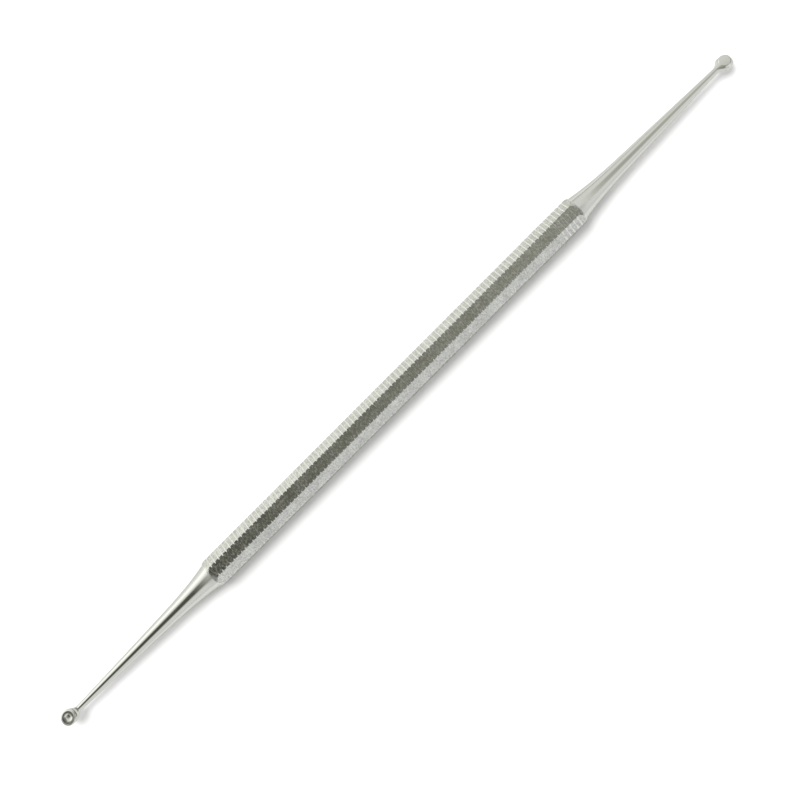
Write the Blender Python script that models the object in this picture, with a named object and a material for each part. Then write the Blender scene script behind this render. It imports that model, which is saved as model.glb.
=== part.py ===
"""Double-ended nail curette: a grooved octagonal handle with a cupped end brazed into each end of it.

The tool lies along X with a flat of its handle on z = 0. The left cup faces up and the right one down.
"""
from math import cos, floor, pi, radians, sin, sqrt, tan

import bmesh
import bpy
from mathutils import Vector

MM = 0.001

# Handle: an octagonal bar
HANDLE_LENGTH = 78.4 * MM
ACROSS_FLATS = 4.7 * MM
BAR_SIDES = 8

# Cone turned on each end of the bar, which rounds the ends of its flats
END_FACE_STEP = 0.05 * MM
END_CONE_ANGLE = radians(16)

# Grip grooves turned round the bar
GROOVE_PITCH = 0.8 * MM
GROOVE_DEPTH = 0.02 * MM
GROOVE_FLANK_ANGLE = radians(40)
PLAIN_LAND = 0.06 * MM

# Tang of a working end in its blind bore
TANG_RADIUS = 1.25 * MM
TANG_LENGTH = 7.0 * MM
TANG_TIP_CHAMFER = 0.3 * MM
BRAZE_GAP = 0.05 * MM
BORE_TIP_ROOM = 0.2 * MM

# Shank, from the handle's end to the neck
LEFT_REACH = 30.7 * MM
RIGHT_REACH = 31.8 * MM
SHOULDER_STEP = 0.15 * MM
FLARE_LENGTH = 12.0 * MM
TAPER_ROOT_RADIUS = 1.53 * MM
NECK_RADIUS = 0.48 * MM

# Cup, measured from its flat back
CUP_HEIGHT = 1.15 * MM
CUP_RIM_RADIUS = 1.27 * MM
CUP_BACK_RADIUS = 1.02 * MM
BACK_EDGE_ROUND = 0.2 * MM
LIP_BEVEL = 0.2 * MM
LIP_WIDTH = 0.32 * MM
CUP_FLOOR = 0.27 * MM
CAVITY_STRAIGHT = 0.2 * MM

# Web that spreads from the neck into the back half of the cup, and the relief round the cup's wall
NECK_TO_RIM = 0.68 * MM
WEB_INSET = 0.1 * MM
WEB_PEAK = 0.5 * MM
RELIEF_WIDTH = 0.15 * MM
RELIEF_DEPTH = 0.21 * MM
RELIEF_FILLET = 0.95 * MM

# Turn of each working end about the tool's axis, the cup's mouth up at zero
LEFT_ROLL = radians(14)
RIGHT_ROLL = radians(166)

# Facets
POINTS_PER_BAR_SIDE = 2
SHANK_SIDES = 24
CUP_SIDES = 40
FLARE_STEPS = 9
WEB_STEPS = 7
ARC_STEPS = 4
CAVITY_STEPS = 6

# Worked out from the sizes above
APOTHEM = ACROSS_FLATS / 2
CORNER_RADIUS = APOTHEM / cos(pi / BAR_SIDES)
END_FACE_RADIUS = APOTHEM - END_FACE_STEP
CONE_RUN = (CORNER_RADIUS - END_FACE_RADIUS) / tan(END_CONE_ANGLE)
GROOVE_BOTTOM = APOTHEM - GROOVE_DEPTH
BORE_RADIUS = TANG_RADIUS + BRAZE_GAP
SHOULDER_RADIUS = END_FACE_RADIUS - SHOULDER_STEP
LEFT_TIP = LEFT_REACH + CUP_RIM_RADIUS
RIGHT_TIP = RIGHT_REACH + CUP_RIM_RADIUS
HANDLE_MIDDLE = (LEFT_TIP - RIGHT_TIP) / 2


def clear_scene():
    """Removes every object that the scene starts with."""
    for item in list(bpy.data.objects):
        bpy.data.objects.remove(item, do_unlink=True)


def steel(name, colour, roughness):
    """Makes a plain stainless steel material."""
    material = bpy.data.materials.new(name)
    material.use_nodes = True
    shader = material.node_tree.nodes["Principled BSDF"]
    shader.inputs["Base Color"].default_value = (*colour, 1.0)
    shader.inputs["Metallic"].default_value = 1.0
    shader.inputs["Roughness"].default_value = roughness
    return material


def add_object(name, bm, material, parent):
    """Turns a bmesh into a smooth-shaded object of the scene."""
    bmesh.ops.recalc_face_normals(bm, faces=bm.faces)
    mesh = bpy.data.meshes.new(name)
    bm.to_mesh(mesh)
    bm.free()
    mesh.shade_smooth()
    mesh.set_sharp_from_angle(angle=radians(25))
    if material is not None:
        mesh.materials.append(material)
    item = bpy.data.objects.new(name, mesh)
    bpy.context.collection.objects.link(item)
    item.parent = parent
    return item


def cut_or_join(target, other, operation):
    """Lets a helper solid cut or join the target, and hides the helper."""
    other.hide_render = True
    other.display_type = "WIRE"
    step = target.modifiers.new(other.name, "BOOLEAN")
    step.operation = operation
    step.solver = "EXACT"
    step.object = other


def loft(rings):
    """Skins closed rings of points, one after another, and caps both ends."""
    bm = bmesh.new()
    loops = []
    for ring in rings:
        corners = [bm.verts.new(point) for point in ring]
        loops.append([bm.edges.new((corners[i - 1], corners[i])) for i in range(len(corners))])
    for first, second in zip(loops, loops[1:]):
        bmesh.ops.bridge_loops(bm, edges=first + second)
    bmesh.ops.edgeloop_fill(bm, edges=loops[0])
    bmesh.ops.edgeloop_fill(bm, edges=loops[-1])
    return bm


def turned(profile, sides):
    """Turns a profile of (radius, height) points, on the Z axis at both its ends, into a solid."""
    bm = bmesh.new()
    points = [bm.verts.new((radius, 0, height)) for radius, height in profile]
    edges = [bm.edges.new(pair) for pair in zip(points, points[1:])]
    bmesh.ops.spin(bm, geom=points + edges, cent=(0, 0, 0), axis=(0, 0, 1), angle=2 * pi,
                   steps=sides, use_merge=True, use_duplicate=False)
    bmesh.ops.remove_doubles(bm, verts=bm.verts, dist=0.001 * MM)
    return bm


def arc(centre, radius, start, end, steps):
    """Lists the points of an arc in a profile's plane."""
    turns = [start + (end - start) * i / steps for i in range(steps + 1)]
    return [(centre[0] + radius * cos(turn), centre[1] + radius * sin(turn)) for turn in turns]


def around_bar():
    """Lists the angles of a ring's points: each corner of the bar and the points between."""
    count = BAR_SIDES * POINTS_PER_BAR_SIDE
    return [2 * pi * i / count + pi / BAR_SIDES for i in range(count)]


def bar_radius(angle):
    """Distance from the axis to the bar's surface in a direction, one flat facing straight down."""
    side = 2 * pi / BAR_SIDES
    return APOTHEM / cos((angle + pi / 2 + side / 2) % side - side / 2)


def bar_ring(station, radius_at):
    """Points of a ring round the bar: its place along X and its radius both follow the angle."""
    ring = []
    for angle in around_bar():
        radius = radius_at(angle)
        ring.append(Vector((station(angle), radius * cos(angle), radius * sin(angle))))
    return ring


def groove_rings(place):
    """Three rings of one groove: where its flanks leave the bar, on both sides, and its bottom."""

    def half_width(angle):
        return (bar_radius(angle) - GROOVE_BOTTOM) * tan(GROOVE_FLANK_ANGLE)

    return [bar_ring(lambda angle: place - half_width(angle), bar_radius),
            bar_ring(lambda angle: place, lambda angle: GROOVE_BOTTOM),
            bar_ring(lambda angle: place + half_width(angle), bar_radius)]


def groove_places():
    """Lists where the grooves lie along the handle, clear of its end cones."""
    corner_half_width = (CORNER_RADIUS - GROOVE_BOTTOM) * tan(GROOVE_FLANK_ANGLE)
    room = HANDLE_LENGTH - 2 * (CONE_RUN + PLAIN_LAND + corner_half_width)
    spaces = floor(room / GROOVE_PITCH)
    return [(i - spaces / 2) * GROOVE_PITCH for i in range(spaces + 1)]


def end_rings(side):
    """Two rings of one end of the handle: its round face, and where the cone leaves the bar."""
    end = side * HANDLE_LENGTH / 2

    def cone_leaves(angle):
        return end - side * (bar_radius(angle) - END_FACE_RADIUS) / tan(END_CONE_ANGLE)

    return [bar_ring(lambda angle: end, lambda angle: END_FACE_RADIUS),
            bar_ring(cone_leaves, bar_radius)]


def make_handle(material, parent):
    """Grooved octagonal bar with a blind bore in each end."""
    rings = end_rings(-1)
    for place in groove_places():
        rings += groove_rings(place)
    rings += reversed(end_rings(1))
    handle = add_object("handle", loft(rings), material, parent)
    handle.location = (HANDLE_MIDDLE, 0, APOTHEM)
    depth = TANG_LENGTH + BORE_TIP_ROOM
    for side, name in ((-1, "bore_left"), (1, "bore_right")):
        bm = bmesh.new()
        bmesh.ops.create_cone(bm, cap_ends=True, segments=SHANK_SIDES, radius1=BORE_RADIUS,
                              radius2=BORE_RADIUS, depth=2 * depth)
        bore = add_object(name, bm, None, handle)
        bore.location = (side * HANDLE_LENGTH / 2, 0, 0)
        bore.rotation_euler = (0, pi / 2, 0)
        cut_or_join(handle, bore, "DIFFERENCE")
    return handle


def shank_ring(along, half_width, half_height, lift=0.0):
    """Points of an ellipse across the shank."""
    turns = [2 * pi * i / SHANK_SIDES for i in range(SHANK_SIDES)]
    return [Vector((along, half_width * cos(turn), lift + half_height * sin(turn))) for turn in turns]


def shank_rings(reach):
    """Rings of a working end from its tang's tip, through the shank, into the back of the cup."""
    neck_at = reach - CUP_RIM_RADIUS - NECK_TO_RIM
    peak_at = reach - WEB_PEAK
    web_half_width = CUP_RIM_RADIUS - WEB_INSET
    web_closes = web_half_width - CUP_BACK_RADIUS / 5

    def taper(along):
        return TAPER_ROOT_RADIUS + (NECK_RADIUS - TAPER_ROOT_RADIUS) * along / neck_at

    tip = BRAZE_GAP - TANG_LENGTH
    rings = [shank_ring(tip, TANG_RADIUS - TANG_TIP_CHAMFER, TANG_RADIUS - TANG_TIP_CHAMFER),
             shank_ring(tip + TANG_TIP_CHAMFER, TANG_RADIUS, TANG_RADIUS),
             shank_ring(BRAZE_GAP, TANG_RADIUS, TANG_RADIUS)]
    for i in range(FLARE_STEPS + 1):
        along = BRAZE_GAP + (FLARE_LENGTH - BRAZE_GAP) * i / FLARE_STEPS
        rise = (SHOULDER_RADIUS - taper(BRAZE_GAP)) * (1 - i / FLARE_STEPS) ** 3
        rings.append(shank_ring(along, taper(along) + rise, taper(along) + rise))
    for i in range(WEB_STEPS + 1):
        along = neck_at + (peak_at - neck_at) * i / WEB_STEPS
        spread = (1 - cos(pi * i / WEB_STEPS)) / 2
        half_width = NECK_RADIUS + (web_half_width - NECK_RADIUS) * spread
        rings.append(shank_ring(along, half_width, NECK_RADIUS))
    for i in range(1, ARC_STEPS + 1):
        turn = radians(60) * i / ARC_STEPS
        rings.append(shank_ring(peak_at + web_closes * sin(turn), web_half_width * cos(turn),
                                NECK_RADIUS * cos(turn)))
    return rings


def cup_profile():
    """Outside of the cup: flat back with a rounded edge, conical wall and bevelled lip."""
    slope = (CUP_RIM_RADIUS - CUP_BACK_RADIUS) / CUP_HEIGHT
    edge_centre = (CUP_BACK_RADIUS - BACK_EDGE_ROUND, BACK_EDGE_ROUND)
    return [(0, 0),
            *arc(edge_centre, BACK_EDGE_ROUND, -pi / 2, -slope, ARC_STEPS),
            (CUP_RIM_RADIUS, CUP_HEIGHT - LIP_BEVEL),
            (CUP_RIM_RADIUS - LIP_BEVEL, CUP_HEIGHT),
            (0, CUP_HEIGHT)]


def cavity_profile():
    """Inside of the cup: an elliptical bottom, then straight up past the lip."""
    radius = CUP_RIM_RADIUS - LIP_WIDTH
    bowl_depth = CUP_HEIGHT - CUP_FLOOR - CAVITY_STRAIGHT
    bowl_top = CUP_FLOOR + bowl_depth
    turns = [pi / 2 * i / CAVITY_STEPS for i in range(CAVITY_STEPS)]
    bowl = [(radius * sin(turn), bowl_top - bowl_depth * cos(turn)) for turn in turns]
    above = CUP_HEIGHT + CAVITY_STRAIGHT
    return bowl + [(radius, bowl_top), (radius, above), (0, above)]


def relief_profile():
    """Relief that bares the cup's wall above the web, with a wide fillet at its foot."""
    foot = 2 * NECK_RADIUS - RELIEF_DEPTH
    start = CUP_RIM_RADIUS + RELIEF_WIDTH
    sweep = pi / 3
    fillet = arc((start, foot + RELIEF_FILLET), RELIEF_FILLET, -pi / 2, sweep - pi / 2, ARC_STEPS)
    top = max(fillet[-1][1], CUP_HEIGHT) + CAVITY_STRAIGHT
    return [(0, foot), *fillet, (fillet[-1][0], top), (0, top)]


def make_working_end(name, reach, material, parent):
    """Tang, shank, web and cup in one piece, its local X running from the handle's end to the cup."""
    end = add_object(name, loft(shank_rings(reach)), material, parent)
    helpers = (("relief", relief_profile, "DIFFERENCE"),
               ("cup", cup_profile, "UNION"),
               ("cavity", cavity_profile, "DIFFERENCE"))
    for label, profile, operation in helpers:
        helper = add_object(name + "_" + label, turned(profile(), CUP_SIDES), None, end)
        helper.location = (reach, 0, -NECK_RADIUS)
        cut_or_join(end, helper, operation)
    return end


def main():
    """Builds the curette under one empty that stands at its origin."""
    clear_scene()
    root = bpy.data.objects.new("nail_curette", None)
    bpy.context.collection.objects.link(root)
    handle_steel = steel("handle_steel", (0.52, 0.52, 0.49), 0.30)
    polished_steel = steel("polished_steel", (0.62, 0.62, 0.60), 0.18)
    make_handle(handle_steel, root)

    left = make_working_end("working_end_left", LEFT_REACH, polished_steel, root)
    left.location = (HANDLE_MIDDLE - HANDLE_LENGTH / 2, 0, APOTHEM)
    left.rotation_euler = (LEFT_ROLL, 0, pi)

    right = make_working_end("working_end_right", RIGHT_REACH, polished_steel, root)
    right.location = (HANDLE_MIDDLE + HANDLE_LENGTH / 2, 0, APOTHEM)
    right.rotation_euler = (RIGHT_ROLL, 0, 0)


main()
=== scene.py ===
from math import acos, atan, atan2, cos, exp, floor, pi, radians, sin, sqrt, tan

import bmesh
import bpy
from mathutils import Matrix, Vector


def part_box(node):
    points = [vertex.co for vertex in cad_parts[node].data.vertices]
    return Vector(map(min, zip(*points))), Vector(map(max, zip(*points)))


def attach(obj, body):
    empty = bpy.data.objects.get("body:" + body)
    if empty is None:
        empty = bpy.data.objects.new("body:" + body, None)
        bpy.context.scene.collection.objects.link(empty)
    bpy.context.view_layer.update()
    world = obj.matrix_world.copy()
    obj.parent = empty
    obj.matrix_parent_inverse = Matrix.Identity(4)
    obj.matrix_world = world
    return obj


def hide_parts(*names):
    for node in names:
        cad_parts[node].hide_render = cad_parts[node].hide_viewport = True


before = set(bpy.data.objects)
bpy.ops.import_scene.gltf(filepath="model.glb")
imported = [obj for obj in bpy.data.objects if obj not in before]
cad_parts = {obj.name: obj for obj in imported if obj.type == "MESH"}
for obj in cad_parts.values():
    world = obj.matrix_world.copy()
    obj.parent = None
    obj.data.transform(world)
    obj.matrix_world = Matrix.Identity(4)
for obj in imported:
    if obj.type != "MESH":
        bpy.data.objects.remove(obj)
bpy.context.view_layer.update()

MM = 0.001

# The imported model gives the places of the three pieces
HANDLE_LOW, HANDLE_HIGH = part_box("handle")
LEFT_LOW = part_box("working_end_left")[0]
RIGHT_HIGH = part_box("working_end_right")[1]
HANDLE_LENGTH = HANDLE_HIGH.x - HANDLE_LOW.x
HANDLE_MIDDLE = (HANDLE_HIGH.x + HANDLE_LOW.x) / 2
APOTHEM = (HANDLE_HIGH.z - HANDLE_LOW.z) / 2
AXIS_HEIGHT = (HANDLE_HIGH.z + HANDLE_LOW.z) / 2

# Octagonal bar of the handle
BAR_SIDES = 8
BAR_CORNER_ROUND = 0.05 * MM
END_FACE_STEP = 0.05 * MM
END_CONE_ANGLE = radians(16)
BORE_RADIUS = 1.3 * MM
BORE_DEPTH = 7.2 * MM

# Grip grooves, turned with a round-nosed tool: they notch the corners, deepest at the left end, and
# clear the flats, except for one that lies a little proud. They score every flat near the right end
GROOVE_PITCH = 0.8 * MM
GROOVE_NOSE_RADIUS = 0.17 * MM
CLEARS_FLAT = 0.125 * MM
DEEPER_AT_LEFT_END = 0.045 * MM
DEEPER_REACH = 8 * MM
PROUD_FLAT_ANGLE = radians(45)
CUT_IN_PROUD_FLAT_LEFT = 0.010 * MM
CUT_IN_PROUD_FLAT_RIGHT = 0.040 * MM
CUT_AT_RIGHT_END = 0.011 * MM
CUT_AT_RIGHT_END_FROM = 5 * MM
CUT_SLOPE = radians(9)
PLAIN_LAND = 0.06 * MM

# Working ends: tang, shank, web and cup
TANG_RADIUS = 1.25 * MM
TANG_LENGTH = 7.0 * MM
TANG_TIP_CHAMFER = 0.3 * MM
JOINT_GAP = 0.01 * MM
SHOULDER_STEP = 0.15 * MM
SHOULDER_EDGE_ROUND = 0.03 * MM
FLARE_LENGTH = 12.0 * MM
TAPER_ROOT_RADIUS = 1.53 * MM
NECK_RADIUS = 0.48 * MM
CUP_HEIGHT = 1.15 * MM
CUP_RIM_RADIUS = 1.27 * MM
CUP_BACK_RADIUS = 1.02 * MM
BACK_EDGE_ROUND = 0.2 * MM
LIP_ROUND = 0.3 * MM
LIP_WIDTH = 0.32 * MM
CUP_FLOOR = 0.27 * MM
CAVITY_STRAIGHT = 0.2 * MM
CUT_PAST = 0.2 * MM
NECK_TO_RIM = 0.68 * MM
WEB_INSET = 0.1 * MM
WEB_PEAK = 0.5 * MM
WEB_TIP_SHORT = 0.204 * MM
WEB_TIP_TURN = radians(60)
RELIEF_WIDTH = 0.15 * MM
RELIEF_DEPTH = 0.21 * MM
RELIEF_FILLET = 0.95 * MM
RELIEF_SWEEP = radians(60)
LEFT_ROLL = radians(14)
RIGHT_ROLL = radians(166)

# How finely the shapes are divided
SHARES_OF_HALF_FLAT = (0.3, 0.55, 0.7, 0.8, 0.88, 0.95)
STEPS_ON_A_CORNER = 4
STEPS_ON_HALF_A_GROOVE = 4
TURNED_FROM = 0.001 * MM
SHANK_SIDES = 64
CUP_SIDES = 96
FLARE_STEPS = 24
WEB_STEPS = 24
ARC_STEPS = 8
CAVITY_STEPS = 16
MERGE_DISTANCE = 0.0005 * MM
HANDLE_SHARP_FROM = radians(12)
WORKING_END_SHARP_FROM = radians(28)

# Worked out from the sizes above
CORNER_RADIUS = APOTHEM / cos(pi / BAR_SIDES)
END_FACE_RADIUS = APOTHEM - END_FACE_STEP
CONE_RUN = (CORNER_RADIUS - END_FACE_RADIUS) / tan(END_CONE_ANGLE)
FLAT_END_ANGLE = atan((APOTHEM - BAR_CORNER_ROUND) * tan(pi / BAR_SIDES) / APOTHEM)
SHOULDER_RADIUS = END_FACE_RADIUS - SHOULDER_STEP
LEFT_REACH = HANDLE_LOW.x - LEFT_LOW.x - CUP_RIM_RADIUS
RIGHT_REACH = RIGHT_HIGH.x - HANDLE_HIGH.x - CUP_RIM_RADIUS


def sharp_after(mesh, angle):
    """Shades a mesh smooth, with sharp edges where it turns by more than the angle."""
    mesh.shade_smooth()
    mesh.set_sharp_from_angle(angle=angle)


def new_object(name, bm):
    """Puts a finished bmesh, its doubles merged and its normals outwards, into the scene."""
    bmesh.ops.remove_doubles(bm, verts=bm.verts, dist=MERGE_DISTANCE)
    bmesh.ops.recalc_face_normals(bm, faces=bm.faces)
    mesh = bpy.data.meshes.new(name)
    bm.to_mesh(mesh)
    bm.free()
    item = bpy.data.objects.new(name, mesh)
    bpy.context.collection.objects.link(item)
    return item


def bar_angles():
    """Angles of a ring round the bar, closer together towards its corners and round them."""
    side = 2 * pi / BAR_SIDES
    half = [atan(tan(FLAT_END_ANGLE) * share) for share in SHARES_OF_HALF_FLAT]
    flat = [-FLAT_END_ANGLE, *[-angle for angle in reversed(half)], 0.0, *half]
    corner = [FLAT_END_ANGLE + (side - 2 * FLAT_END_ANGLE) * k / STEPS_ON_A_CORNER
              for k in range(STEPS_ON_A_CORNER)]
    return [i * side + angle for i in range(BAR_SIDES) for angle in flat + corner]


def bar_radius(angle):
    """Distance from the bar's axis to its surface, which is flat between rounded corners."""
    side = 2 * pi / BAR_SIDES
    off_flat = (angle + side / 2) % side - side / 2
    off_corner = side / 2 - abs(off_flat)
    round_centre = (APOTHEM - BAR_CORNER_ROUND) / cos(side / 2)
    reach = BAR_CORNER_ROUND ** 2 - (round_centre * sin(off_corner)) ** 2
    if abs(off_flat) > FLAT_END_ANGLE and reach > 0:
        return round_centre * cos(off_corner) + sqrt(reach)
    return APOTHEM / cos(off_flat)


def groove_bottom(place, angle):
    """Distance from the bar's axis to the bottom of a groove."""
    from_left = place + HANDLE_LENGTH / 2
    clears = CLEARS_FLAT - DEEPER_AT_LEFT_END * exp(-from_left / DEEPER_REACH)
    near_right = 1 - (HANDLE_LENGTH - from_left) / CUT_AT_RIGHT_END_FROM
    cut = CUT_AT_RIGHT_END * max(0.0, near_right)
    if abs((angle - PROUD_FLAT_ANGLE + pi) % (2 * pi) - pi) < pi / BAR_SIDES:
        rise = CUT_IN_PROUD_FLAT_RIGHT - CUT_IN_PROUD_FLAT_LEFT
        cut += CUT_IN_PROUD_FLAT_LEFT + rise * from_left / HANDLE_LENGTH
    elif near_right <= 0:
        return APOTHEM + clears
    side = 2 * pi / BAR_SIDES
    off_corner = side / 2 - abs((angle + side / 2) % side - side / 2)
    return APOTHEM + clears - (clears + cut) * min(1.0, off_corner / CUT_SLOPE)


def groove_point(place, angle, k):
    """Place and radius of a ring's point across one groove; k runs from its left edge to its right."""
    bottom = groove_bottom(place, angle)
    land = bar_radius(angle)
    if bottom >= land:
        return place, land
    edge = acos(1 - (land - bottom) / GROOVE_NOSE_RADIUS)
    turn = edge * k / STEPS_ON_HALF_A_GROOVE
    return place + GROOVE_NOSE_RADIUS * sin(turn), bottom + GROOVE_NOSE_RADIUS * (1 - cos(turn))


def groove_rings(place):
    """Rings of one groove, from its left land edge to its right one."""
    steps = range(-STEPS_ON_HALF_A_GROOVE, STEPS_ON_HALF_A_GROOVE + 1)
    return [lambda angle, k=k: groove_point(place, angle, k) for k in steps]


def groove_places():
    """Where the grooves lie along the handle, clear of its end cones."""
    half_width = sqrt(2 * GROOVE_NOSE_RADIUS * (CORNER_RADIUS - APOTHEM))
    room = HANDLE_LENGTH - 2 * (CONE_RUN + PLAIN_LAND + half_width)
    spaces = floor(room / GROOVE_PITCH)
    return [(i - spaces / 2) * GROOVE_PITCH for i in range(spaces + 1)]


def end_rings(side):
    """Rings of one end of the handle, from its bore's bottom to where the cone leaves the bar."""
    end = side * HANDLE_LENGTH / 2

    def cone_leaves(angle):
        radius = bar_radius(angle)
        return end - side * (radius - END_FACE_RADIUS) / tan(END_CONE_ANGLE), radius

    return [lambda angle: (end - side * BORE_DEPTH, BORE_RADIUS),
            lambda angle: (end, BORE_RADIUS),
            lambda angle: (end, END_FACE_RADIUS),
            cone_leaves]


def make_handle():
    """Octagonal bar: a tube with a ring for each change of shape, then each ring set to its outline."""
    rings = end_rings(-1)
    for place in groove_places():
        rings += groove_rings(place)
    rings += reversed(end_rings(1))

    bm = bmesh.new()
    spine = [bm.verts.new((i, 0, 1)) for i in range(len(rings))]
    edges = [bm.edges.new(pair) for pair in zip(spine, spine[1:])]
    angles = bar_angles()
    bmesh.ops.spin(bm, geom=spine + edges, cent=(0, 0, 0), axis=(-1, 0, 0), angle=2 * pi,
                   steps=len(angles), use_merge=True, use_duplicate=False)
    bmesh.ops.edgeloop_fill(bm, edges=[edge for edge in bm.edges if edge.is_boundary])
    turned = bm.verts.layers.float.new("turned")
    for point in bm.verts:
        turn = atan2(point.co.z, point.co.y) / (2 * pi) * len(angles)
        angle = angles[round(turn) % len(angles)]
        along, radius = rings[round(point.co.x)](angle)
        point[turned] = 1.0 if radius < bar_radius(angle) - TURNED_FROM else 0.0
        point.co = (HANDLE_MIDDLE + along, radius * cos(angle), AXIS_HEIGHT + radius * sin(angle))
    handle = new_object("grooved_handle", bm)
    sharp_after(handle.data, HANDLE_SHARP_FROM)
    return handle


def turned(profile, sides, axis):
    """Turns a profile of (radius, place along the axis) points into a closed solid."""
    bm = bmesh.new()
    if axis == "Z":
        points = [bm.verts.new((radius, 0, along)) for radius, along in profile]
    else:
        points = [bm.verts.new((along, 0, radius)) for radius, along in profile]
    edges = [bm.edges.new(pair) for pair in zip(points, points[1:])]
    about = (0, 0, 1) if axis == "Z" else (1, 0, 0)
    bmesh.ops.spin(bm, geom=points + edges, cent=(0, 0, 0), axis=about, angle=2 * pi,
                   steps=sides, use_merge=True, use_duplicate=False)
    return bm


def arc(centre, radius, start, end, steps):
    """Points of an arc in a profile's plane."""
    turns = [start + (end - start) * i / steps for i in range(steps + 1)]
    return [(centre[0] + radius * cos(turn), centre[1] + radius * sin(turn)) for turn in turns]


def shank_profile(reach):
    """Outline of a working end as (radius, place along): tang, shoulder, flare, taper, neck, web."""
    neck_at = reach - CUP_RIM_RADIUS - NECK_TO_RIM
    peak_at = reach - WEB_PEAK

    def taper(along):
        return TAPER_ROOT_RADIUS + (NECK_RADIUS - TAPER_ROOT_RADIUS) * along / neck_at

    tip = JOINT_GAP - TANG_LENGTH
    profile = [(0, tip), (TANG_RADIUS - TANG_TIP_CHAMFER, tip), (TANG_RADIUS, tip + TANG_TIP_CHAMFER),
               (TANG_RADIUS, JOINT_GAP), (SHOULDER_RADIUS - SHOULDER_EDGE_ROUND, JOINT_GAP)]
    for i in range(FLARE_STEPS + 1):
        along = JOINT_GAP + SHOULDER_EDGE_ROUND
        along += (FLARE_LENGTH - along) * i / FLARE_STEPS
        rise = (SHOULDER_RADIUS - TAPER_ROOT_RADIUS) * (1 - along / FLARE_LENGTH) ** 3
        profile.append((taper(along) + rise, along))
    for i in range(WEB_STEPS + 1):
        profile.append((NECK_RADIUS, neck_at + (peak_at - neck_at) * i / WEB_STEPS))
    web_closes = CUP_RIM_RADIUS - WEB_INSET - WEB_TIP_SHORT
    for i in range(1, ARC_STEPS + 1):
        turn = WEB_TIP_TURN * i / ARC_STEPS
        profile.append((NECK_RADIUS * cos(turn), peak_at + web_closes * sin(turn)))
    profile.append((0, profile[-1][1]))
    return profile


def spread_web(bm, reach):
    """Widens the round bar of the neck into the flat web behind the cup."""
    neck_at = reach - CUP_RIM_RADIUS - NECK_TO_RIM
    peak_at = reach - WEB_PEAK
    full = (CUP_RIM_RADIUS - WEB_INSET) / NECK_RADIUS
    for point in bm.verts:
        if point.co.x > neck_at:
            share = min(1.0, (point.co.x - neck_at) / (peak_at - neck_at))
            point.co.y *= 1 + (full - 1) * (1 - cos(pi * share)) / 2


def cup_profile():
    """Outside of the cup: flat back with a rounded edge, conical wall and lip rounded towards the cavity."""
    slope = (CUP_RIM_RADIUS - CUP_BACK_RADIUS) / CUP_HEIGHT
    edge_centre = (CUP_BACK_RADIUS - BACK_EDGE_ROUND, BACK_EDGE_ROUND)
    lip_centre = (CUP_RIM_RADIUS - LIP_ROUND, CUP_HEIGHT - LIP_ROUND)
    return [(0, 0),
            *arc(edge_centre, BACK_EDGE_ROUND, -pi / 2, -slope, ARC_STEPS),
            *arc(lip_centre, LIP_ROUND, -slope, pi / 2, ARC_STEPS),
            (0, CUP_HEIGHT)]


def cavity_profile():
    """Inside of the cup: an elliptical bottom, then straight up past the lip."""
    radius = CUP_RIM_RADIUS - LIP_WIDTH
    bowl_depth = CUP_HEIGHT - CUP_FLOOR - CAVITY_STRAIGHT
    bowl_top = CUP_FLOOR + bowl_depth
    turns = [pi / 2 * i / CAVITY_STEPS for i in range(CAVITY_STEPS)]
    bowl = [(radius * sin(turn), bowl_top - bowl_depth * cos(turn)) for turn in turns]
    above = CUP_HEIGHT + CUT_PAST
    return bowl + [(radius, bowl_top), (radius, above), (0, above)]


def relief_profile():
    """Relief that bares the cup's wall above the web, with a wide fillet at its foot."""
    foot = 2 * NECK_RADIUS - RELIEF_DEPTH
    start = CUP_RIM_RADIUS + RELIEF_WIDTH
    centre = (start, foot + RELIEF_FILLET)
    fillet = arc(centre, RELIEF_FILLET, -pi / 2, RELIEF_SWEEP - pi / 2, ARC_STEPS)
    top = max(fillet[-1][1], CUP_HEIGHT) + CUT_PAST
    return [(0, foot), *fillet, (fillet[-1][0], top), (0, top)]


def make_working_end(name, reach, joint, roll, turn):
    """Turned tang and shank, spread into the web, with the cup joined on, relieved and hollowed."""
    bm = turned(shank_profile(reach), SHANK_SIDES, "X")
    spread_web(bm, reach)
    end = new_object(name, bm)
    helpers = []
    for label, profile, operation in (("relief", relief_profile, "DIFFERENCE"),
                                      ("cup", cup_profile, "UNION"),
                                      ("cavity", cavity_profile, "DIFFERENCE")):
        solid = turned(profile(), CUP_SIDES, "Z")
        bmesh.ops.translate(solid, verts=solid.verts, vec=(reach, 0, -NECK_RADIUS))
        helper = new_object(name + "_" + label, solid)
        helpers.append(helper)
        step = end.modifiers.new(label, "BOOLEAN")
        step.operation = operation
        step.solver = "EXACT"
        step.object = helper
    shaped = end.evaluated_get(bpy.context.evaluated_depsgraph_get())
    mesh = bpy.data.meshes.new_from_object(shaped)
    end.modifiers.clear()
    end.data = mesh
    for helper in helpers:
        bpy.data.objects.remove(helper)
    place = Matrix.Translation((joint, 0, AXIS_HEIGHT))
    mesh.transform(place @ Matrix.Rotation(turn, 4, "Z") @ Matrix.Rotation(roll, 4, "X"))
    sharp_after(mesh, WORKING_END_SHARP_FROM)
    return end


def linear(code):
    """Turns an sRGB hex colour into linear red, green, blue and alpha."""
    shares = [int(code[i:i + 2], 16) / 255 for i in (1, 3, 5)]
    return [c / 12.92 if c <= 0.04045 else ((c + 0.055) / 1.055) ** 2.4 for c in shares] + [1.0]


def node(tree, kind, settings=None, inputs=None):
    """Adds a node, with its settings, and its inputs given a value or linked to another node's output."""
    made = tree.nodes.new(kind)
    for key, value in (settings or {}).items():
        setattr(made, key, value)
    for key, value in (inputs or {}).items():
        if isinstance(value, bpy.types.NodeSocket):
            tree.links.new(value, made.inputs[key])
        else:
            made.inputs[key].default_value = value
    return made


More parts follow.
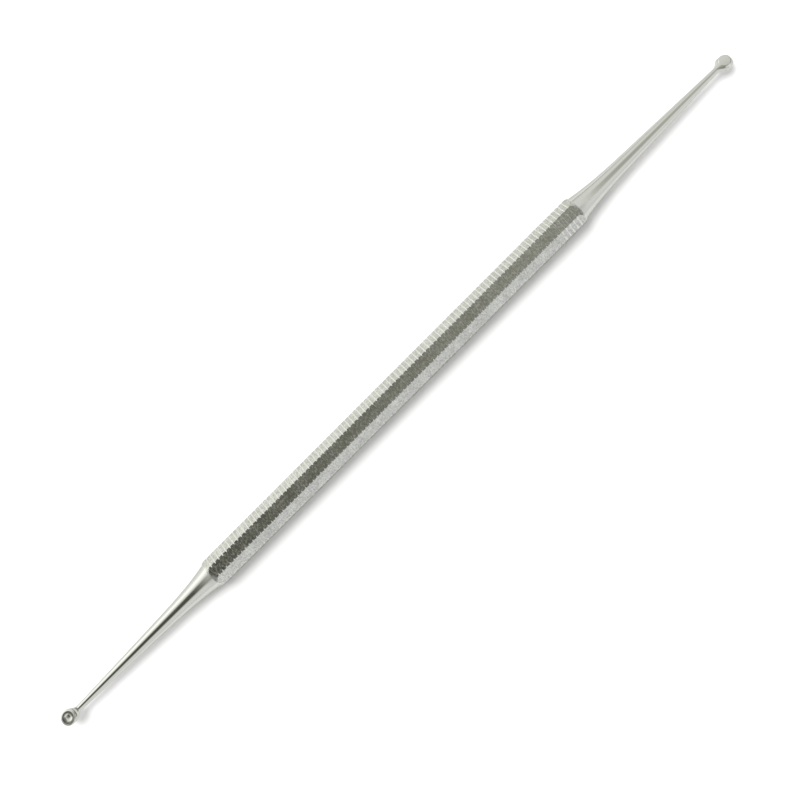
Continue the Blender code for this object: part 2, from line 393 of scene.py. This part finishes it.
def new_material(name):
    """Starts a material with only its output node."""
    material = bpy.data.materials.new(name)
    material.use_nodes = True
    material.node_tree.nodes.clear()
    return material, material.node_tree


# Steel gives back less light at grazing angles than white metals do, which outlines it faintly
STEEL_AT_GRAZING = "#CBCBCB"
GROUND_DARK = "#A6A79E"
GROUND_PALE = "#CACBC3"
TURNED_BRIGHT = "#D3D4CD"
POLISHED = "#C5C6BF"
CARD_WHITE = "#F6F6F6"

# Sizes of the steel's patterns. Real grinding scratches and polishing lines are too fine to show in
# the picture, so both are drawn as coarse as they need to be
SCRATCH_WIDTH = 0.1818 * MM
SCRATCH_LENGTH = 0.3846 * MM
PATCH_SIZE = 2.381 * MM
POLISHING_LINE_WIDTH = 0.1538 * MM
POLISHING_LINE_LENGTH = 2.857 * MM

# How much the patches add to the scratches, and the values between which both tint and roughen
PATCH_SHARE = 0.35
MOTTLE_FROM = 0.5
MOTTLE_TO = 0.85


def ground_bar_steel():
    """Bright-drawn stainless steel bar, its flats ground crosswise.

    It gives the eye a satin grey with a fine crosswise grain and faint clouds, and a row of brighter
    turned grooves.
    """
    material, tree = new_material("ground_stainless_steel_bar")
    where = node(tree, "ShaderNodeTexCoord").outputs["Object"]
    # Short grinding scratches lie across the bar
    scratch_scale = (1 / SCRATCH_WIDTH, 1 / SCRATCH_LENGTH, 1 / SCRATCH_LENGTH)
    stretched = node(tree, "ShaderNodeMapping", {}, {"Vector": where, "Scale": scratch_scale}).outputs[0]
    scratches = node(tree, "ShaderNodeTexNoise", {},
                     {"Vector": stretched, "Scale": 1.0, "Detail": 3.0}).outputs[0]
    # Cloudy patches, where the grinding was heavier or lighter
    patches = node(tree, "ShaderNodeTexNoise", {},
                   {"Vector": where, "Scale": 1 / PATCH_SIZE, "Detail": 2.0, "Roughness": 0.6}).outputs[0]
    both = node(tree, "ShaderNodeMath", {"operation": "MULTIPLY_ADD"},
                {0: patches, 1: PATCH_SHARE, 2: scratches}).outputs[0]
    mottle = node(tree, "ShaderNodeMapRange", {},
                  {"Value": both, "From Min": MOTTLE_FROM, "From Max": MOTTLE_TO}).outputs[0]
    ground = node(tree, "ShaderNodeMix", {"data_type": "RGBA"},
                  {"Factor": mottle, 6: linear(GROUND_DARK), 7: linear(GROUND_PALE)}).outputs[2]
    # The turned grooves are brighter than the ground flats
    grooves = node(tree, "ShaderNodeAttribute", {"attribute_name": "turned"}).outputs["Fac"]
    tone = node(tree, "ShaderNodeMix", {"data_type": "RGBA"},
                {"Factor": grooves, 6: ground, 7: linear(TURNED_BRIGHT)}).outputs[2]
    # Pale patches are rougher, so they blur what the flats mirror
    rough = node(tree, "ShaderNodeMapRange", {},
                 {"Value": mottle, "To Min": 0.08, "To Max": 0.35}).outputs[0]
    grain = node(tree, "ShaderNodeBump", {},
                 {"Strength": 0.4, "Distance": 0.004 * MM, "Height": scratches}).outputs[0]
    wavy = node(tree, "ShaderNodeBump", {},
                {"Strength": 0.25, "Distance": 0.01 * MM, "Height": patches, "Normal": grain}).outputs[0]
    shader = node(tree, "ShaderNodeBsdfPrincipled", {},
                  {"Base Color": tone, "Metallic": 1.0, "Roughness": rough, "Normal": wavy,
                   "Specular Tint": linear(STEEL_AT_GRAZING)}).outputs[0]
    node(tree, "ShaderNodeOutputMaterial", {}, {"Surface": shader})
    return material


def polished_steel():
    """Stainless steel, mirror polished lengthwise on a buffing wheel.

    It gives the eye clear dark and pale bands along the shanks, drawn out a little along them.
    """
    material, tree = new_material("polished_stainless_steel")
    where = node(tree, "ShaderNodeTexCoord").outputs["Object"]
    # Long polishing lines lie along the shanks
    line_scale = (1 / POLISHING_LINE_LENGTH, 1 / POLISHING_LINE_WIDTH, 1 / POLISHING_LINE_WIDTH)
    stretched = node(tree, "ShaderNodeMapping", {}, {"Vector": where, "Scale": line_scale}).outputs[0]
    lines = node(tree, "ShaderNodeTexNoise", {},
                 {"Vector": stretched, "Scale": 1.0, "Detail": 3.0}).outputs[0]
    rough = node(tree, "ShaderNodeMapRange", {},
                 {"Value": lines, "From Min": 0.3, "From Max": 0.7,
                  "To Min": 0.12, "To Max": 0.18}).outputs[0]
    fine = node(tree, "ShaderNodeBump", {},
                {"Strength": 0.15, "Distance": 0.003 * MM, "Height": lines}).outputs[0]
    shader = node(tree, "ShaderNodeBsdfPrincipled", {},
                  {"Base Color": linear(POLISHED), "Metallic": 1.0, "Roughness": rough,
                   "Normal": fine, "Specular Tint": linear(STEEL_AT_GRAZING)}).outputs[0]
    node(tree, "ShaderNodeOutputMaterial", {}, {"Surface": shader})
    return material


def paper_floor():
    """Matt white card that the tool lies on: the photograph's white background, with the shadow on it."""
    material, tree = new_material("matt_white_card")
    shader = node(tree, "ShaderNodeBsdfPrincipled", {},
                  {"Base Color": linear(CARD_WHITE), "Roughness": 0.9, "Specular IOR Level": 0.2}).outputs[0]
    node(tree, "ShaderNodeOutputMaterial", {}, {"Surface": shader})
    return material


# Surroundings that the steel mirrors: pale walls with zones that are brighter, darker or tinted. Each
# limit of a zone is a measure of the direction, where the zone starts and where it is at its fullest.
# "along" is the direction's share along the tool to the right and "end" its share either way,
# "across" its share to the photograph's upper left, and "up" its share upwards. "lean" is the angle
# from straight up to the upper left, "off_gap" that angle either way, and "off_key" the angle from
# the brightest wall's middle.
WALL_LEVEL = 1.08

# Brightest wall, on the upper left and towards the left end
KEY_LEAN = radians(68)
KEY_WALL = (("off_key", radians(42), 0.0), ("along", 0.25, -0.20))
KEY_ADDS = 0.80

# Foot of the upper left wall, shaded towards the right end
SHADED_WALL = (("lean", radians(62), radians(88)), ("along", -0.05, 0.20))
SHADE_TAKES = 0.30

# Dark walls past both ends, above the card's edge, so that the card looks white from the side too
END_WALLS = (("end", 0.57, 0.75), ("up", 0.04, 0.20))
END_WALL_LEVEL = 0.30

# Dark corners past both ends on the lower right, which the cups and shanks mirror
LOWER_RIGHT_CORNERS = (("end", 0.48, 0.62), ("across", 0.0, -0.15), ("up", 0.04, 0.20))
CORNER_LEVEL = 0.33

# Dark gap overhead, which the handle's top flat and the left shank mirror. It ends short of both end
# walls and pales evenly to the right
GAP = (("along", -0.60, -0.42), ("along", 0.49, 0.38), ("off_gap", radians(38), radians(14)))
GAP_PALES_FROM = -0.25
GAP_PALES_TO = 0.85
GAP_LEVEL = 0.10
GAP_TINT = "#FFFFF0"

# Low wall on the lower right, a little bluer than the rest
COOL_WALL = (("lean", radians(-50), radians(-80)),)
COOL_TINT = "#F6F6FF"


def light_tent():
    """World of pale walls round the tool, open and dark overhead."""
    world = bpy.data.worlds.new("light_tent")
    bpy.context.scene.world = world
    world.use_nodes = True
    tree = world.node_tree
    tree.nodes.clear()
    heading = node(tree, "ShaderNodeTexCoord").outputs["Generated"]
    parts = node(tree, "ShaderNodeSeparateXYZ", {}, {"Vector": heading}).outputs
    lean = node(tree, "ShaderNodeMath", {"operation": "ARCTAN2"}, {0: parts["Y"], 1: parts["Z"]}).outputs[0]
    past_key = node(tree, "ShaderNodeMath", {"operation": "SUBTRACT"}, {0: lean, 1: KEY_LEAN}).outputs[0]
    measures = {"along": parts["X"], "across": parts["Y"], "up": parts["Z"], "lean": lean}
    for name, value in (("end", parts["X"]), ("off_gap", lean), ("off_key", past_key)):
        measures[name] = node(tree, "ShaderNodeMath", {"operation": "ABSOLUTE"}, {0: value}).outputs[0]

    def share_of(zone):
        """How much a direction is in a zone: the smooth steps of its limits, multiplied."""
        share = 1.0
        for measure, none_at, full_at in zone:
            step = node(tree, "ShaderNodeMapRange", {"interpolation_type": "SMOOTHSTEP"},
                        {"Value": measures[measure], "From Min": none_at, "From Max": full_at}).outputs[0]
            share = node(tree, "ShaderNodeMath", {"operation": "MULTIPLY"}, {0: share, 1: step}).outputs[0]
        return share

    level = WALL_LEVEL
    for zone, change in ((KEY_WALL, KEY_ADDS), (SHADED_WALL, -SHADE_TAKES)):
        level = node(tree, "ShaderNodeMath", {"operation": "MULTIPLY_ADD"},
                     {0: share_of(zone), 1: change, 2: level}).outputs[0]
    for zone, dark_level in ((END_WALLS, END_WALL_LEVEL), (LOWER_RIGHT_CORNERS, CORNER_LEVEL)):
        level = node(tree, "ShaderNodeMix", {"data_type": "FLOAT"},
                     {"Factor": share_of(zone), 2: level, 3: dark_level}).outputs[0]
    pales = node(tree, "ShaderNodeMapRange", {},
                 {"Value": measures["along"],
                  "From Min": GAP_PALES_TO, "From Max": GAP_PALES_FROM}).outputs[0]
    gap = node(tree, "ShaderNodeMath", {"operation": "MULTIPLY"}, {0: share_of(GAP), 1: pales}).outputs[0]
    level = node(tree, "ShaderNodeMix", {"data_type": "FLOAT"},
                 {"Factor": gap, 2: level, 3: GAP_LEVEL}).outputs[0]
    wall_tint = node(tree, "ShaderNodeMix", {"data_type": "RGBA"},
                     {"Factor": share_of(COOL_WALL), 6: linear("#FFFFFF"), 7: linear(COOL_TINT)}).outputs[2]
    tint = node(tree, "ShaderNodeMix", {"data_type": "RGBA"},
                {"Factor": gap, 6: wall_tint, 7: linear(GAP_TINT)}).outputs[2]
    light = node(tree, "ShaderNodeBackground", {}, {"Color": tint, "Strength": level}).outputs[0]
    node(tree, "ShaderNodeOutputWorld", {}, {"Surface": light})


# Soft lamp almost overhead, which throws the narrow shadow to the photograph's lower right
LAMP_DIRECTION = Vector((-0.20, 0.36, 1.0)).normalized()
LAMP_DISTANCE = 0.5
LAMP_WIDTH = radians(31)
LAMP_SHARE = 0.65


def soft_lamp():
    """Wide sun lamp; the metal doesn't mirror it."""
    data = bpy.data.lights.new("soft_lamp", "SUN")
    data.angle = LAMP_WIDTH
    data.energy = LAMP_SHARE * pi / LAMP_DIRECTION.z
    lamp = bpy.data.objects.new("soft_lamp", data)
    bpy.context.collection.objects.link(lamp)
    lamp.location = LAMP_DIRECTION * LAMP_DISTANCE
    lamp.rotation_euler = LAMP_DIRECTION.to_track_quat("Z", "Y").to_euler()
    lamp.visible_glossy = False


# Camera, read off the photograph: its place, what its middle looks at, and the turn of the picture
MIDDLE_OF_VIEW = Vector((-0.81, -1.42, 2.35)) * MM
EYE_DISTANCE = 200 * MM
EYE_TILT = radians(4)
EYE = MIDDLE_OF_VIEW + Vector((0, -sin(EYE_TILT), cos(EYE_TILT))) * EYE_DISTANCE
PICTURE_TURN = radians(45.04)
PICTURE_WIDTH = 121.6 * MM
SENSOR = 36.0
LENS = SENSOR * EYE_DISTANCE / PICTURE_WIDTH
CLIP_START = 5 * MM


def photograph_camera():
    """Camera that looks down on the tool, with the tool's length along the picture's rising diagonal."""
    back = (EYE - MIDDLE_OF_VIEW).normalized()
    along = (Vector((1, 0, 0)) - back * back.x).normalized()
    across = back.cross(along)
    right = along * cos(PICTURE_TURN) - across * sin(PICTURE_TURN)
    up = along * sin(PICTURE_TURN) + across * cos(PICTURE_TURN)
    data = bpy.data.cameras.new("photograph_camera")
    data.lens = LENS
    data.sensor_width = SENSOR
    data.clip_start = CLIP_START
    camera = bpy.data.objects.new("photograph_camera", data)
    bpy.context.collection.objects.link(camera)
    camera.matrix_world = Matrix.Translation(EYE) @ Matrix((right, up, back)).transposed().to_4x4()
    bpy.context.scene.camera = camera


CARD_HALF_SIZE = 2.0

photograph_camera()

handle = make_handle()
handle.data.materials.append(ground_bar_steel())
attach(handle, "root")
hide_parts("handle")

bright = polished_steel()
left = make_working_end("cupped_end_left", LEFT_REACH, HANDLE_LOW.x, LEFT_ROLL, pi)
left.data.materials.clear()
left.data.materials.append(bright)
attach(left, "root")
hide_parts("working_end_left")

right = make_working_end("cupped_end_right", RIGHT_REACH, HANDLE_HIGH.x, RIGHT_ROLL, 0.0)
right.data.materials.clear()
right.data.materials.append(bright)
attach(right, "root")
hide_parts("working_end_right")

bm = bmesh.new()
bmesh.ops.create_grid(bm, x_segments=1, y_segments=1, size=CARD_HALF_SIZE)
card = new_object("white_card", bm)
card.data.materials.append(paper_floor())

light_tent()
soft_lamp()
bpy.context.scene.view_settings.view_transform = "Standard"
